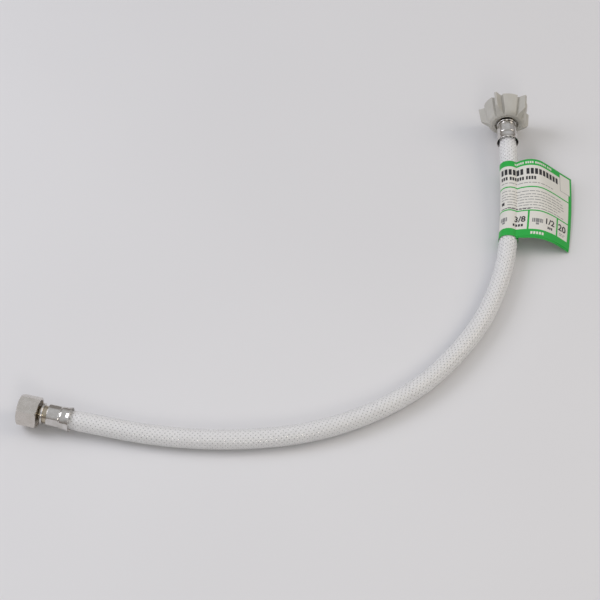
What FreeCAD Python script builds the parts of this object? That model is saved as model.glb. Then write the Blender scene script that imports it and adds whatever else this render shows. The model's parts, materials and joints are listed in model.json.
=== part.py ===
import FreeCAD, Part
import math
import os

V = FreeCAD.Vector

# ---------------------------------------------------------------------------
# Braid-reinforced PVC faucet connector, 508 mm (20 in) from nut to nut.
# Millimetres, +Z up, floor at Z = 0, origin below the middle of its fittings.
# Each fitting is drawn on its own axis: s = 0 at the nut's open face, +s
# towards the hose, and is then laid on the straight end of the hose's route.
# ---------------------------------------------------------------------------

# Hose, three bonded layers
HOSE_R = 6.35
BRAID_R = 5.45
LINER_R = 4.85
BORE_R = 3.95

# Corners of the hose's route, from the compression end to the pipe-thread end
ROUTE = [
    (-145.3, -123.9, 9.8),
    (-111.2, -131.2, 7.6),
    (-76.1, -137.7, 6.35),
    (-36.6, -140.2, 6.35),
    (7.7, -136.2, 6.35),
    (47.4, -121.7, 6.35),
    (82.8, -98.3, 6.35),
    (111.5, -64.0, 6.35),
    (127.9, -34.2, 6.35),
    (140.4, 2.6, 6.35),
    (146.0, 47.6, 9.8),
    (147.7, 82.2, 12.7),
    (148.3, 116.4, 16.3),
]
ARC_SHARE = 0.45          # share of the shorter run that a corner's arc takes

# Retaining rings and ferrules, the same at both ends
RING_R, RING_L = 6.7, 1.4
NECK_R = 5.3
GROOVE_R = 4.8            # groove in the stem that the ferrule's wall locks in
FERRULE_WALL = 0.6
CRIMP_R, CRIMP_L = 6.75, 7.3
CRIMP_FLATS = 8
CRIMP_FLAT_R = 6.6
BEAD_GAP = 0.9            # narrow waist between the crimp and the bulge
BULGE_R, BULGE_L = 7.05, 3.6
LIP_R, LIP_L = 7.6, 2.3
FERRULE_L = CRIMP_L + BEAD_GAP + BULGE_L + LIP_L
TAIL_L = FERRULE_L - 1.0  # barbed tail's end, from the ferrule's front
TAIL_BARBS = 5
BARB_DEPTH = 0.35
STEM_BORE_R = 2.6
SPIGOT_L = 2.0            # stub in front of the stem's head that centres the washer

# Compression nut, 9/16-24 UNEF, 11/16 in across flats
HEX_AF = 17.46
HEX_L = 12.4
HEX_THREAD_R = 6.57       # minor radius
HEX_MOUTH_R = 7.3
HEX_THREAD_END = 5.4
HEX_RELIEF_R = 7.1
HEX_LIP_S, HEX_LIP_END = 10.2, 11.3
HEX_LIP_R = 5.6
HEX_RECESS_R = 7.4
HEX_TURN = 43.0           # degrees from the horizontal to a flat's normal
HEX_RING_S = 14.1
HEX_FERRULE_S = 18.0
HEX_HEAD_S, HEX_HEAD_END, HEX_HEAD_R = 8.4, 9.9, 6.25
HEX_SPIGOT_R = 3.4

# Cone washer of the compression nut
CONE_S, CONE_FLANGE_S, CONE_END = 5.5, 7.2, 8.2
CONE_R, CONE_NOSE_R, CONE_ROOT_R = 6.25, 4.3, 5.3

# Wing nut, 1/2-14 NPSM
WING_L = 15.6
WING_COUNT = 5
WING_TURN = 44.0          # degrees clockwise from the top to the first wing
WING_TIP_FRONT, WING_TIP_BACK = 18.6, 16.8
DRUM_FRONT, DRUM_BACK = 15.2, 12.4
WING_TIP_W, WING_ROOT_W = 1.6, 6.4
WING_THREAD_R = 9.55      # minor radius
WING_MOUTH_R = 10.9
WING_THREAD_END = 7.0
WING_RELIEF_R = 10.2
WING_LIP_S, WING_LIP_END = 11.6, 13.2
WING_LIP_R = 5.7
WING_RECESS_R = 8.0
WING_RIM_R = 10.6
WING_RING_S = 15.2
WING_FERRULE_S = 17.5
WING_HEAD_S, WING_HEAD_END, WING_HEAD_R = 9.6, 11.3, 8.9
WING_SPIGOT_R = 4.6
WING_WASHER_S, WING_WASHER_END = 7.2, 9.4
WING_WASHER_R, WING_WASHER_NOSE_R = 9.2, 8.0

WASHER_PLAY = 0.3         # radial play of each washer on its stem's spigot
EDGE = 0.4                # small broken edge on turned pieces

# Flag label: wrapped once round the hose, both leaves out to the right
LABEL_FROM, LABEL_LEN = 372.3, 63.5    # along the hose from its start
FILM = 0.25
LABEL_R = 6.5             # inside of the wrap
LEAF_JOIN = (12.0, 7.65)  # where the two leaves meet, right of and above the axis
LEAF_PEAK = (13.0, 7.7)
LEAF_EDGE = (41.0, -7.4)


# ---------------------------------------------------------------- helpers

def unit(v):
    return v * (1.0 / v.Length)


def turned(profile):
    """Solid of revolution about Z from (radius, s) corners."""
    wire = Part.makePolygon([V(r, 0, s) for r, s in profile + profile[:1]])
    return Part.Face(wire).revolve(V(0, 0, 0), V(0, 0, 1), 360)


def on_axis(face_point, direction, shape):
    """Lays a fitting drawn along +Z on a line, its local +Y nearest to up."""
    z = unit(direction)
    x = unit(V(0, 0, 1).cross(z))
    y = z.cross(x)
    m = FreeCAD.Matrix(x.x, y.x, z.x, face_point.x,
                       x.y, y.y, z.y, face_point.y,
                       x.z, y.z, z.z, face_point.z,
                       0, 0, 0, 1)
    placed = shape.copy()
    placed.Placement = FreeCAD.Placement(m)
    return placed


# ---------------------------------------------------------------- hose

def route_edges(points):
    """Straight runs joined by tangent arcs, and each arc's radius."""
    edges, radii = [], []
    start = points[0]
    for before, corner, after in zip(points, points[1:], points[2:]):
        run_in, run_out = corner - before, after - corner
        back = ARC_SHARE * min(run_in.Length, run_out.Length)
        half_turn = run_in.getAngle(run_out) / 2
        radius = back / math.tan(half_turn)
        enter = corner - unit(run_in) * back
        leave = corner + unit(run_out) * back
        inward = unit(unit(run_out) - unit(run_in))
        middle = corner + inward * (radius / math.cos(half_turn) - radius)
        edges.append(Part.LineSegment(start, enter).toShape())
        edges.append(Part.Arc(enter, middle, leave).toShape())
        radii.append(radius)
        start = leave
    edges.append(Part.LineSegment(start, points[-1]).toShape())
    return edges, radii


def stretch(edges, begin, length):
    """The part of a path that starts begin along it and is length long."""
    end, done, kept = begin + length, 0.0, []
    for edge in edges:
        low, high = max(begin, done) - done, min(end, done + edge.Length) - done
        if high - low > 1e-6:
            rate = (edge.LastParameter - edge.FirstParameter) / edge.Length
            first = edge.FirstParameter + low * rate
            kept.append(edge.Curve.toShape(first, first + (high - low) * rate))
        done += edge.Length
    return kept


def tube(edges, outer, inner):
    """One layer of the hose along the whole route."""
    start = edges[0].valueAt(edges[0].FirstParameter)
    along = edges[0].tangentAt(edges[0].FirstParameter)
    rings = [Part.Wire(Part.makeCircle(r, start, along)) for r in (outer, inner)]
    solids = [Part.Wire(edges).makePipe(Part.Face(ring)) for ring in rings]
    return solids[0].cut(solids[1])


# ---------------------------------------------------------------- end hardware

def retaining_ring(s):
    return turned([
        (NECK_R, s), (RING_R - EDGE, s), (RING_R, s + EDGE),
        (RING_R, s + RING_L - EDGE), (RING_R - EDGE, s + RING_L), (NECK_R, s + RING_L)])


def ferrule(wall):
    """Drawn shell: end wall, crimped barrel with flats, waist, bulge, flared lip."""
    barrel = wall + CRIMP_L
    bulge = barrel + BEAD_GAP
    lip, end = bulge + BULGE_L, wall + FERRULE_L
    shell = turned([
        (GROOVE_R, wall), (CRIMP_R - EDGE, wall), (CRIMP_R, wall + EDGE),
        (CRIMP_R, barrel), (CRIMP_FLAT_R, barrel + BEAD_GAP / 2),
        (BULGE_R, bulge + EDGE), (BULGE_R, lip), (LIP_R, end - EDGE), (LIP_R, end),
        (LIP_R - EDGE, end), (HOSE_R, lip), (HOSE_R, wall + FERRULE_WALL),
        (GROOVE_R, wall + FERRULE_WALL)])
    for k in range(CRIMP_FLATS):
        block = Part.makeBox(4, 8, CRIMP_L - 2 * EDGE, V(CRIMP_FLAT_R, -4, wall + EDGE))
        block.rotate(V(0, 0, 0), V(0, 0, 1), (k + 0.5) * 360.0 / CRIMP_FLATS)
        shell = shell.cut(block)
    return shell


def stem(wall, head_s, head_end, head_r, spigot_r):
    """Machined insert: spigot, head, neck, ferrule groove and barbed tail."""
    hose, end = wall + FERRULE_WALL, wall + TAIL_L
    spigot_s = head_s - SPIGOT_L
    outline = [
        (STEM_BORE_R, spigot_s), (spigot_r - EDGE, spigot_s), (spigot_r, spigot_s + EDGE),
        (spigot_r, head_s), (head_r - EDGE, head_s), (head_r, head_s + EDGE),
        (head_r, head_end - EDGE), (head_r - EDGE, head_end), (NECK_R, head_end),
        (NECK_R, wall), (GROOVE_R, wall), (GROOVE_R, hose), (BORE_R, hose)]
    pitch = (end - hose) / TAIL_BARBS
    for k in range(TAIL_BARBS):
        crest = hose + (k + 0.35) * pitch
        outline += [(BORE_R, crest), (BORE_R - BARB_DEPTH, crest),
                    (BORE_R - BARB_DEPTH, crest + 0.2 * pitch), (BORE_R, crest + 0.3 * pitch)]
    outline += [(BORE_R, end - EDGE), (BORE_R - EDGE, end), (STEM_BORE_R, end)]
    return turned(outline)


# ---------------------------------------------------------------- compression end

def hex_nut():
    """Hexagon with bevelled ends, threaded mouth, inner lip and rear recess."""
    corner = HEX_AF / 2 / math.cos(math.radians(30))
    angles = [math.radians(HEX_TURN + 30 + 60 * k) for k in range(7)]
    outline = Part.makePolygon([V(corner * math.cos(a), corner * math.sin(a), 0) for a in angles])
    prism = Part.Face(outline).extrude(V(0, 0, HEX_L))
    flat = HEX_AF / 2 - 0.1
    bevel = (corner + 0.2 - flat) * math.tan(math.radians(35))
    envelope = turned([
        (0, 0), (flat, 0), (corner + 0.2, bevel), (corner + 0.2, HEX_L - bevel / 2),
        (flat + 0.6, HEX_L), (0, HEX_L)])
    hole = turned([
        (0, -1), (HEX_MOUTH_R, -1), (HEX_MOUTH_R, 0), (HEX_THREAD_R, 0.8),
        (HEX_THREAD_R, HEX_THREAD_END), (HEX_RELIEF_R, HEX_THREAD_END),
        (HEX_RELIEF_R, HEX_LIP_S), (HEX_LIP_R, HEX_LIP_S), (HEX_LIP_R, HEX_LIP_END),
        (HEX_RECESS_R - EDGE, HEX_LIP_END), (HEX_RECESS_R, HEX_L), (HEX_RECESS_R, HEX_L + 1),
        (0, HEX_L + 1)])
    return prism.common(envelope).cut(hole)


def cone_washer():
    hole = HEX_SPIGOT_R + WASHER_PLAY
    return turned([
        (hole, CONE_S), (CONE_NOSE_R, CONE_S), (CONE_ROOT_R, CONE_FLANGE_S),
        (CONE_R, CONE_FLANGE_S), (CONE_R, CONE_END), (hole, CONE_END)])


# ---------------------------------------------------------------- pipe-thread end

def wing():
    """One tapered wing, its root sunk in the drum and its tip outermost."""
    sections = []
    for s, drum, tip in ((0.0, DRUM_FRONT, WING_TIP_FRONT), (WING_L, DRUM_BACK, WING_TIP_BACK)):
        root = drum - 2.0
        sections.append(Part.makePolygon([
            V(-WING_ROOT_W / 2, root, s), V(WING_ROOT_W / 2, root, s),
            V(WING_TIP_W / 2, tip, s), V(-WING_TIP_W / 2, tip, s), V(-WING_ROOT_W / 2, root, s)]))
    return Part.makeLoft(sections, True, True)


def wing_nut():
    """Conical drum with wings, bevelled at the rear, threaded mouth and lip."""
    body = turned([(0, 0), (DRUM_FRONT, 0), (DRUM_BACK, WING_L), (0, WING_L)])
    for k in range(WING_COUNT):
        one = wing()
        one.rotate(V(0, 0, 0), V(0, 0, 1), -WING_TURN - k * 360.0 / WING_COUNT)
        body = body.fuse(one)
    envelope = turned([
        (0, 0), (WING_TIP_FRONT + 1, 0), (WING_TIP_FRONT + 1, WING_L - 5.0),
        (WING_RIM_R, WING_L), (0, WING_L)])
    hole = turned([
        (0, -1), (WING_MOUTH_R, -1), (WING_MOUTH_R, 0), (WING_THREAD_R, 1.2),
        (WING_THREAD_R, WING_THREAD_END), (WING_RELIEF_R, WING_THREAD_END),
        (WING_RELIEF_R, WING_LIP_S), (WING_LIP_R, WING_LIP_S), (WING_LIP_R, WING_LIP_END),
        (WING_RECESS_R, WING_LIP_END), (WING_RECESS_R, WING_L - EDGE),
        (WING_RECESS_R + EDGE, WING_L), (WING_RECESS_R + EDGE, WING_L + 1), (0, WING_L + 1)])
    return body.common(envelope).cut(hole).removeSplitter()


def pipe_washer():
    hole = WING_SPIGOT_R + WASHER_PLAY
    return turned([
        (hole, WING_WASHER_S), (WING_WASHER_NOSE_R, WING_WASHER_S),
        (WING_WASHER_R, WING_WASHER_S + 1.0), (WING_WASHER_R, WING_WASHER_END),
        (hole, WING_WASHER_END)])


# ---------------------------------------------------------------- label

def teardrop(centre, right, up, r, tip):
    """Closed outline: tangents from a tip to a circle, and the far arc."""
    reach = math.hypot(*tip)
    aim, half = math.atan2(tip[1], tip[0]), math.acos(r / reach)

    def at(u, w):
        return centre + right * u + up * w

    def on_circle(angle):
        return at(r * math.cos(angle), r * math.sin(angle))

    top, bottom, far = on_circle(aim + half), on_circle(aim - half), on_circle(aim + math.pi)
    return Part.Wire([
        Part.LineSegment(at(*tip), top).toShape(),
        Part.Arc(top, far, bottom).toShape(),
        Part.LineSegment(bottom, at(*tip)).toShape()])


def flag_outline(centre, right, up):
    """The two leaves stuck together, arching over to the free edge."""
    drop, span = LEAF_PEAK[1] - LEAF_EDGE[1], LEAF_EDGE[0] - LEAF_PEAK[0]
    turn = 2 * math.atan2(drop, span)
    radius = span / math.sin(turn)

    def at(u, w):
        return centre + right * u + up * w

    def bent(r, angle):
        return at(LEAF_PEAK[0] + r * math.sin(angle), LEAF_PEAK[1] - radius + r * math.cos(angle))

    upper, lower = radius + FILM, radius - FILM
    return Part.Wire([
        Part.LineSegment(bent(lower, 0), at(LEAF_JOIN[0] - 1.5, LEAF_JOIN[1] - FILM)).toShape(),
        Part.LineSegment(at(LEAF_JOIN[0] - 1.5, LEAF_JOIN[1] - FILM), bent(upper, 0)).toShape(),
        Part.Arc(bent(upper, 0), bent(upper, turn / 2), bent(upper, turn)).toShape(),
        Part.LineSegment(bent(upper, turn), bent(lower, turn)).toShape(),
        Part.Arc(bent(lower, turn), bent(lower, turn / 2), bent(lower, 0)).toShape()])


def flag_label(hose_edges):
    """Printed film tag carried along the curve of the hose."""
    path = stretch(hose_edges, LABEL_FROM, LABEL_LEN)
    centre = path[0].valueAt(path[0].FirstParameter)
    along = path[0].tangentAt(path[0].FirstParameter)
    right = unit(along.cross(V(0, 0, 1)))
    up = right.cross(along)
    tip = (LEAF_JOIN[0], LEAF_JOIN[1])
    inner = Part.Face(teardrop(centre, right, up, LABEL_R, tip))
    outer_tip = (tip[0] + 0.6, tip[1] + FILM)
    outer = Part.Face(teardrop(centre, right, up, LABEL_R + FILM, outer_tip))
    leaves = Part.Face(flag_outline(centre, right, up))
    wire = Part.Wire(path)
    solids = [wire.makePipe(face) for face in (outer, inner, leaves)]
    return solids[0].fuse(solids[2]).cut(solids[1]).removeSplitter()


# ---------------------------------------------------------------- build

def main():
    os.makedirs("parts", exist_ok=True)
    points = [V(*p) for p in ROUTE]
    edges, radii = route_edges(points)
    hose_length = sum(edge.Length for edge in edges)
    print("arc radii", [round(r) for r in radii])

    nodes = {
        "hose_jacket": tube(edges, HOSE_R, BRAID_R),
        "hose_braid": tube(edges, BRAID_R, LINER_R),
        "hose_liner": tube(edges, LINER_R, BORE_R),
        "flag_label": flag_label(edges),
    }
    jacket_section = math.pi * (HOSE_R ** 2 - BRAID_R ** 2)
    print("jacket volume over section x length",
          round(nodes["hose_jacket"].Volume / (jacket_section * hose_length), 5))

    hex_way = unit(points[1] - points[0])
    hex_face = points[0] - hex_way * (HEX_FERRULE_S + FERRULE_WALL)
    for name, shape in {
        "hex_nut": hex_nut(),
        "cone_washer": cone_washer(),
        "compression_stem": stem(HEX_FERRULE_S, HEX_HEAD_S, HEX_HEAD_END, HEX_HEAD_R, HEX_SPIGOT_R),
        "compression_retaining_ring": retaining_ring(HEX_RING_S),
        "compression_ferrule": ferrule(HEX_FERRULE_S),
    }.items():
        nodes[name] = on_axis(hex_face, hex_way, shape)

    wing_way = unit(points[-2] - points[-1])
    wing_face = points[-1] - wing_way * (WING_FERRULE_S + FERRULE_WALL)
    for name, shape in {
        "wing_nut": wing_nut(),
        "pipe_washer": pipe_washer(),
        "pipe_stem": stem(WING_FERRULE_S, WING_HEAD_S, WING_HEAD_END, WING_HEAD_R, WING_SPIGOT_R),
        "pipe_retaining_ring": retaining_ring(WING_RING_S),
        "pipe_ferrule": ferrule(WING_FERRULE_S),
    }.items():
        nodes[name] = on_axis(wing_face, wing_way, shape)

    for name, shape in nodes.items():
        if not shape.isValid() or len(shape.Solids) != 1:
            raise RuntimeError("%s: valid %s, solids %d" % (name, shape.isValid(), len(shape.Solids)))
        shape.Solids[0].exportStep("parts/%s.step" % name)

    box = FreeCAD.BoundBox()
    for name, shape in nodes.items():
        if not name.startswith(("hose", "flag")):
            box.add(shape.BoundBox)
    print("hose length", round(hose_length, 2))
    ends = HEX_FERRULE_S + WING_FERRULE_S + 2 * FERRULE_WALL
    print("nut to nut", round(hose_length + ends, 2))
    print("compression mount", hex_face, hex_way)
    print("pipe mount", wing_face, wing_way)
    print("fittings box", box)


main()
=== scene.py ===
"""Looks of a braided faucet supply line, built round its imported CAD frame."""

import bisect
import json
import logging
import math
import random
from dataclasses import dataclass, field
from enum import Enum
from typing import Callable, Iterable, Sequence

import bmesh
import bpy
from mathutils import Matrix, Vector
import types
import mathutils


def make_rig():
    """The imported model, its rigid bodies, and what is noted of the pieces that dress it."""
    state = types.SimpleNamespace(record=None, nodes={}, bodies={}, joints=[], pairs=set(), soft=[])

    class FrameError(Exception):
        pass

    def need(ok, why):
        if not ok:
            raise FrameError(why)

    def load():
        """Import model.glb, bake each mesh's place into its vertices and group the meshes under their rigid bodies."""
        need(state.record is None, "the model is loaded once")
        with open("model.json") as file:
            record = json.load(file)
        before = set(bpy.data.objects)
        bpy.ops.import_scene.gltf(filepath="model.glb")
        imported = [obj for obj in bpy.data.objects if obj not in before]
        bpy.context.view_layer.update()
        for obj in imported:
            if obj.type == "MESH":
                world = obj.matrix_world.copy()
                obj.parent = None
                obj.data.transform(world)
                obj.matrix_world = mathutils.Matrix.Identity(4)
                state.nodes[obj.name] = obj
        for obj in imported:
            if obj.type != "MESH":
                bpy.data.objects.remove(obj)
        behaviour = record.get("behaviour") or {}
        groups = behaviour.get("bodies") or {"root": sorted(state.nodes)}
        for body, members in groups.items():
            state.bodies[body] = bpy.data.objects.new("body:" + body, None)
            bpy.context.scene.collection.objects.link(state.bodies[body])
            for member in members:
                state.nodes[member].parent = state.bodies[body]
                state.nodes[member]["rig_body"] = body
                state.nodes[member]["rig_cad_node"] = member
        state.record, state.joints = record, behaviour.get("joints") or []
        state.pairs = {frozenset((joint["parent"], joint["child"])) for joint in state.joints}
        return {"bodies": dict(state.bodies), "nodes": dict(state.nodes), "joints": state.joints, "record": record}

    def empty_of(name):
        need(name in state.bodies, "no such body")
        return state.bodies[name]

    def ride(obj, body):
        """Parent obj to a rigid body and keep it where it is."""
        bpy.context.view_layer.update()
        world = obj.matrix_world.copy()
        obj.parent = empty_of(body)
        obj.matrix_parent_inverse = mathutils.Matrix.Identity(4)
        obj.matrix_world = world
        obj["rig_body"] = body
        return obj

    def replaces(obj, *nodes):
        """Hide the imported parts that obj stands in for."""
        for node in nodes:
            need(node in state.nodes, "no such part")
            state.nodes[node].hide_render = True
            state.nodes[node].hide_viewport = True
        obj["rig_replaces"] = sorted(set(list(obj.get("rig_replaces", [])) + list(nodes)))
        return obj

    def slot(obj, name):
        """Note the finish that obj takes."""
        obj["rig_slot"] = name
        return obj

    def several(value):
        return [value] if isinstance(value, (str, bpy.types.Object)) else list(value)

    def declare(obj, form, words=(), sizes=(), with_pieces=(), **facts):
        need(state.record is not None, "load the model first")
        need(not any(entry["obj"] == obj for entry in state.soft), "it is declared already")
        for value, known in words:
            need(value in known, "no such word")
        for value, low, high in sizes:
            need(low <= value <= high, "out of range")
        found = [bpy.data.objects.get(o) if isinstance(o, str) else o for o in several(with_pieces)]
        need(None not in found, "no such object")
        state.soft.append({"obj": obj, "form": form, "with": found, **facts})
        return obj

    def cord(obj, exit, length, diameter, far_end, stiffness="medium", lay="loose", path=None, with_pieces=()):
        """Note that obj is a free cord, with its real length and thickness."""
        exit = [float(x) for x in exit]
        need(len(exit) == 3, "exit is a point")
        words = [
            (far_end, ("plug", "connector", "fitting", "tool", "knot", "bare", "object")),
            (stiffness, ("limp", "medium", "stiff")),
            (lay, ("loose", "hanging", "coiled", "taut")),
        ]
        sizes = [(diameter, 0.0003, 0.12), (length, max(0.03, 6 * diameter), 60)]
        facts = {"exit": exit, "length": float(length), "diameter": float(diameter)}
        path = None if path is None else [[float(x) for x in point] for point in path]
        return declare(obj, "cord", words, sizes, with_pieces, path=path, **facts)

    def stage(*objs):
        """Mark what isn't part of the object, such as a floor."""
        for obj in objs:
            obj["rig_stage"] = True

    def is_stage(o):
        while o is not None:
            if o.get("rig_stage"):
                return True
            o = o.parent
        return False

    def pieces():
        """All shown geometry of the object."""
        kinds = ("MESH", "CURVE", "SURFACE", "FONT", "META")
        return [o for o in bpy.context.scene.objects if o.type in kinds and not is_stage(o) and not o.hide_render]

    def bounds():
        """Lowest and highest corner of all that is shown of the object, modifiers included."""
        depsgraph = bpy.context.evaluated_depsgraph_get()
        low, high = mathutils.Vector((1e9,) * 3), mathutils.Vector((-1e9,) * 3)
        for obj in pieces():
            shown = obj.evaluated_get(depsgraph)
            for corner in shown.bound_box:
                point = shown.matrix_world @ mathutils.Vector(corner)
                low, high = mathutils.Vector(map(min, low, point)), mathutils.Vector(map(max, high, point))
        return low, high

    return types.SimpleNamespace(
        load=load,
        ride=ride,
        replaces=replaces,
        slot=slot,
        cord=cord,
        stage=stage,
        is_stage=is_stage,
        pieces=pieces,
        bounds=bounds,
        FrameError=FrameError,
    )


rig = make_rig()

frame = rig.load()
CAD_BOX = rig.bounds()

log = logging.getLogger("supply_line")

MM = 0.001
FULL_TURN = 2 * math.pi
UP = Vector((0, 0, 1))

Colour = tuple[float, float, float]
Corner = tuple[float, float, float]     # radius, place along the axis, rounding; mm
BMesh = bmesh.types.BMesh

# Corners of the hose's route in metres, compression end first
ROUTE = (
    (-0.1453, -0.1239, 0.0098),
    (-0.1112, -0.1312, 0.0076),
    (-0.0761, -0.1377, 0.00635),
    (-0.0366, -0.1402, 0.00635),
    (0.0077, -0.1362, 0.00635),
    (0.0474, -0.1217, 0.00635),
    (0.0828, -0.0983, 0.00635),
    (0.1115, -0.0640, 0.00635),
    (0.1279, -0.0342, 0.00635),
    (0.1404, 0.0026, 0.00635),
    (0.1460, 0.0476, 0.0098),
    (0.1477, 0.0822, 0.0127),
    (0.1483, 0.1164, 0.0163),
)


class Slot(Enum):
    """The record's material slots."""

    NICKEL = "nickel_brass"
    BRASS = "stem_brass"
    STAINLESS = "stainless"
    JACKET = "jacket_pvc"
    YARN = "braid_polyester"
    LINER = "liner_pvc"
    PLASTIC = "nut_plastic"
    RUBBER = "washer_rubber"
    FILM = "label_film"


class Ink(Enum):
    """What a patch of the label is printed with, as its place in the label's materials."""

    PAPER = 0
    GREEN = 1
    BLACK = 2
    GREY = 3


# ------------------------------------------------------------------ finishes

class Shader:
    """A material's node tree round one Principled shader."""

    NOISE_LOW, NOISE_HIGH = 0.3, 0.7        # a noise's factor is mostly between these

    def __init__(self, name: str) -> None:
        """Starts an empty tree.

        Args:
            name: the material's name.
        """
        self.material = bpy.data.materials.new(name)
        self.material.use_nodes = True
        self.tree = self.material.node_tree
        self.tree.nodes.clear()
        self.surface = self.add("ShaderNodeBsdfPrincipled")
        self.tree.links.new(
            self.surface.outputs[0], self.add("ShaderNodeOutputMaterial").inputs["Surface"])

    def add(self, kind: str, **settings: object) -> bpy.types.Node:
        """Adds a node.

        Args:
            kind: the node's type name.
            settings: values of its own properties.

        Returns:
            The node.
        """
        node = self.tree.nodes.new(kind)
        for name, value in settings.items():
            setattr(node, name, value)
        return node

    def wire(self, source: bpy.types.NodeSocket, node: bpy.types.Node, socket: str) -> None:
        """Links a socket to a node's named input."""
        self.tree.links.new(source, node.inputs[socket])

    def fixed(self, **values: object) -> None:
        """Sets uniform values on the shader's own sockets, underscores standing for spaces."""
        for name, value in values.items():
            self.surface.inputs[name.replace("_", " ")].default_value = value

    def coordinates(self, output: str, scale: Sequence[float]) -> bpy.types.NodeSocket:
        """Scaled coordinates.

        Args:
            output: "Object" or "UV".
            scale: factors along the three axes.

        Returns:
            The scaled vector's socket.
        """
        mapping = self.add("ShaderNodeMapping")
        mapping.inputs["Scale"].default_value = tuple(scale)
        self.wire(self.add("ShaderNodeTexCoord").outputs[output], mapping, "Vector")
        return mapping.outputs[0]

    def noise(self, vector: bpy.types.NodeSocket, scale: float, detail: float = 3.0,
              distortion: float = 0.0) -> bpy.types.NodeSocket:
        """A noise pattern.

        Args:
            vector: where it is read.
            scale: its fineness.
            detail: its octaves.
            distortion: how far it swirls.

        Returns:
            The factor's socket.
        """
        node = self.add("ShaderNodeTexNoise")
        node.inputs["Scale"].default_value = scale
        node.inputs["Detail"].default_value = detail
        node.inputs["Distortion"].default_value = distortion
        self.wire(vector, node, "Vector")
        return node.outputs["Fac"]

    def colours(self, factor: bpy.types.NodeSocket, low: Colour, high: Colour,
                start: float = 0.35, end: float = 0.65) -> None:
        """Runs the base colour between two tones over a factor."""
        ramp = self.add("ShaderNodeValToRGB")
        for element, place, tone in zip(ramp.color_ramp.elements, (start, end), (low, high)):
            element.position = place
            element.color = (*tone, 1)
        self.wire(factor, ramp, "Fac")
        self.wire(ramp.outputs["Color"], self.surface, "Base Color")

    def roughness(self, factor: bpy.types.NodeSocket, low: float, high: float) -> None:
        """Runs the roughness between two values over a factor."""
        spread = self.add("ShaderNodeMapRange")
        ends = {"From Min": self.NOISE_LOW, "From Max": self.NOISE_HIGH, "To Min": low,
                "To Max": high}
        for socket, value in ends.items():
            spread.inputs[socket].default_value = value
        self.wire(factor, spread, "Value")
        self.wire(spread.outputs["Result"], self.surface, "Roughness")

    def relief(self, height: bpy.types.NodeSocket, depth: float, strength: float = 1.0) -> None:
        """Roughens the surface.

        Args:
            height: the pattern's socket.
            depth: how deep the pattern is, in metres.
            strength: share of the bump that shows.
        """
        bump = self.add("ShaderNodeBump")
        bump.inputs["Strength"].default_value = strength
        bump.inputs["Distance"].default_value = depth
        self.wire(height, bump, "Height")
        self.wire(bump.outputs["Normal"], self.surface, "Normal")


@dataclass(frozen=True)
class Metal:
    """Plated or bare metal with cloudy tarnish and fine handling marks."""

    name: str
    light: Colour
    dark: Colour
    smooth: float
    rough: float
    mark_depth: float = 4e-6

    def material(self) -> bpy.types.Material:
        """Builds the material."""
        shader = Shader(self.name)
        shader.fixed(Metallic=1.0)
        cloud = shader.noise(shader.coordinates("Object", (1, 1, 1)), 260.0, 4.0, 0.4)
        shader.colours(cloud, self.dark, self.light)
        marks = shader.noise(shader.coordinates("Object", (1, 1, 6)), 900.0, 5.0)
        shader.roughness(marks, self.smooth, self.rough)
        shader.relief(marks, self.mark_depth)
        return shader.material


@dataclass(frozen=True)
class Moulding:
    """Moulded plastic or rubber with a fine even grain."""

    name: str
    light: Colour
    dark: Colour
    smooth: float
    rough: float
    grain_depth: float
    glow: float = 0.0

    def material(self) -> bpy.types.Material:
        """Builds the material."""
        shader = Shader(self.name)
        shader.fixed(Subsurface_Weight=self.glow, Subsurface_Scale=0.002,
                     Subsurface_Radius=(1.0, 0.9, 0.8), IOR=1.48)
        flow = shader.noise(shader.coordinates("Object", (1, 1, 1)), 70.0, 2.0, 0.6)
        shader.colours(flow, self.dark, self.light)
        grain = shader.noise(shader.coordinates("Object", (1, 1, 1)), 2600.0, 4.0)
        shader.roughness(grain, self.smooth, self.rough)
        shader.relief(grain, self.grain_depth)
        return shader.material


@dataclass(frozen=True)
class ClearVinyl:
    """Milky see-through vinyl under a high gloss."""

    name: str
    milk: Colour
    cloud: Colour
    cover: float

    def material(self) -> bpy.types.Material:
        """Builds the material."""
        shader = Shader(self.name)
        shader.fixed(Alpha=self.cover, IOR=1.54, Specular_IOR_Level=0.9, Coat_Weight=1.0,
                     Coat_Roughness=0.03, Coat_IOR=1.6)
        haze = shader.noise(shader.coordinates("Object", (1, 1, 1)), 120.0, 3.0)
        shader.colours(haze, self.cloud, self.milk)
        shader.roughness(haze, 0.10, 0.20)
        return shader.material


@dataclass(frozen=True)
class Yarn:
    """Flat bundles of fine filaments, which run along the piece's V direction."""

    name: str
    light: Colour
    dark: Colour

    def material(self) -> bpy.types.Material:
        """Builds the material."""
        shader = Shader(self.name)
        shader.fixed(Sheen_Weight=0.4, Sheen_Roughness=0.4, Subsurface_Weight=0.3,
                     Subsurface_Scale=0.001, Subsurface_Radius=(1.0, 1.0, 1.0))
        filaments = shader.noise(shader.coordinates("UV", (7, 0.3, 1)), 1.0, 3.0)
        shader.colours(filaments, self.dark, self.light, 0.3, 0.6)
        shader.roughness(filaments, 0.4, 0.6)
        shader.relief(filaments, 4e-5)
        return shader.material


@dataclass(frozen=True)
class PrintedFilm:
    """Coated label film in one printed tone, with a faint print grain."""

    name: str
    light: Colour
    dark: Colour

    def material(self) -> bpy.types.Material:
        """Builds the material."""
        shader = Shader(self.name)
        shader.fixed(Specular_IOR_Level=0.3, Coat_Weight=0.12, Coat_Roughness=0.2, Coat_IOR=1.4)
        grain = shader.noise(shader.coordinates("Object", (1, 1, 1)), 2200.0, 2.0)
        shader.colours(grain, self.dark, self.light)
        shader.roughness(grain, 0.38, 0.5)
        ripple = shader.noise(shader.coordinates("Object", (1, 1, 1)), 160.0, 2.0)
        shader.relief(ripple, 2e-5)
        return shader.material


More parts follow.
